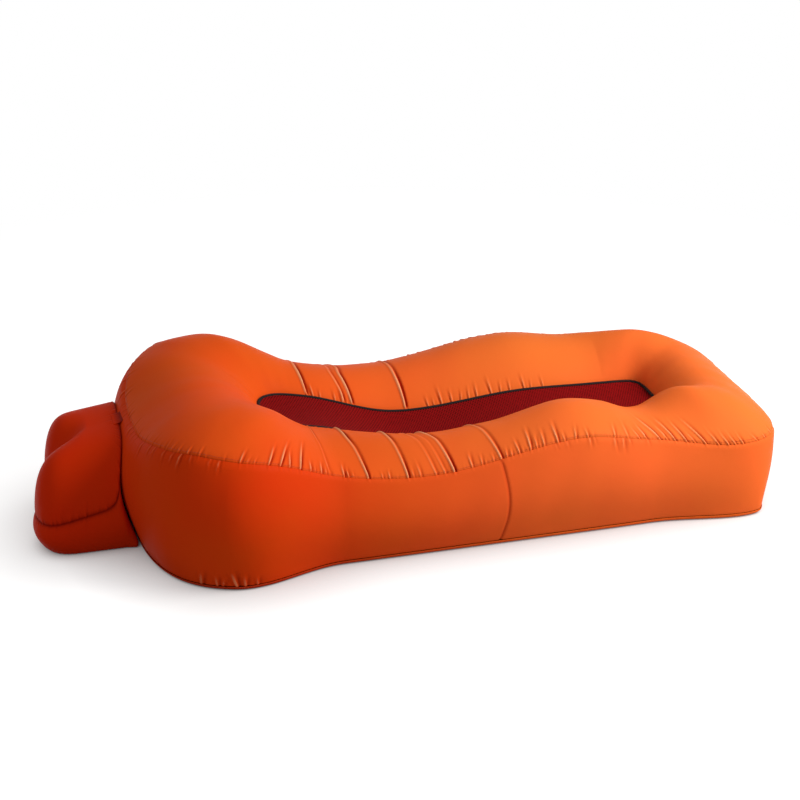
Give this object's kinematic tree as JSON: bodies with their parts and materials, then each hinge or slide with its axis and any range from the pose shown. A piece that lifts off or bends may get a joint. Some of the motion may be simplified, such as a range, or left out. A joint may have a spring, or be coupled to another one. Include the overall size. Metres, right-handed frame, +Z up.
{
  "type": "inflatable pool pouf",
  "caption": "Wavy inflatable pool lounger: a fabric-covered air ring around a long mesh strip, with a low two-lobed rear cushion that folds up on a fabric hinge.",
  "frame": {"origin": "centre of the overall box on the floor plane", "axes": "+X from the head end to the foot end, +Y to the far side with the valves and the zip, +Z up"},
  "size_m": [1.889, 0.8498, 0.3988],
  "materials": {
    "cover_fabric": "satin coated woven cloth, taut over air",
    "mesh_fabric": "open woven mesh, dull",
    "binding_tape": "woven tape, dull",
    "chamber_film": "smooth soft film",
    "valve_plastic": "moulded, satin",
    "zip_teeth": "moulded coil, dull",
    "zip_metal": "satin"
  },
  "bodies": {
    "lounger": {"cover_top_panel": "cover_fabric", "cover_base_panel": "cover_fabric", "cover_inner_wall": "cover_fabric", "cover_band_head": "cover_fabric", "cover_band_foot": "cover_fabric", "seat_mesh": "mesh_fabric", "mesh_binding": "binding_tape", "chamber_head": "chamber_film", "chamber_foot": "chamber_film", "valve_seat_head": "valve_plastic", "valve_insert_head": "valve_plastic", "valve_seat_foot": "valve_plastic", "valve_insert_foot": "valve_plastic", "zip_tape": "binding_tape", "zip_chain": "zip_teeth", "hinge_strip": "cover_fabric"},
    "rear_cushion": {"rear_top_panel": "cover_fabric", "rear_side_band": "cover_fabric", "rear_base_panel": "cover_fabric", "rear_chamber": "chamber_film", "valve_seat_rear": "valve_plastic", "valve_insert_rear": "valve_plastic"},
    "head_valve_cap": {"valve_cap_head": "valve_plastic"},
    "foot_valve_cap": {"valve_cap_foot": "valve_plastic"},
    "rear_valve_cap": {"valve_cap_rear": "valve_plastic"},
    "zip_slider_body": {"zip_slider": "zip_metal"},
    "zip_pull_tab": {"zip_pull": "zip_metal"}
  },
  "joints": [
    {"name": "rear_cushion_fold", "type": "hinge", "parent": "lounger", "child": "rear_cushion", "pos_m": [-0.6962, 0.06975, 0.283], "axis": [0, 1, 0], "range_deg": [0, 60], "deforming": ["hinge_strip"]},
    {"name": "head_cap_flip", "type": "hinge", "parent": "lounger", "child": "head_valve_cap", "pos_m": [0.0278, 0.4093, 0.128], "axis": [1, 0, 0], "range_deg": [0, 120]},
    {"name": "foot_cap_flip", "type": "hinge", "parent": "lounger", "child": "foot_valve_cap", "pos_m": [0.2978, 0.409, 0.128], "axis": [1, 0, 0], "range_deg": [0, 120]},
    {"name": "rear_cap_flip", "type": "hinge", "parent": "rear_cushion", "child": "rear_valve_cap", "pos_m": [-0.8022, 0.2669, 0.068], "axis": [1, 0, 0], "range_deg": [0, 120]},
    {"name": "zip_slide", "type": "slide", "parent": "lounger", "child": "zip_slider_body", "axis": [-1, 0, 0], "range_m": [0, 0.27]},
    {"name": "zip_pull_swing", "type": "hinge", "parent": "zip_slider_body", "child": "zip_pull_tab", "pos_m": [0.5033, 0.4095, 0.056], "axis": [0, 0, 1], "range_deg": [0, 170]}
  ]
}
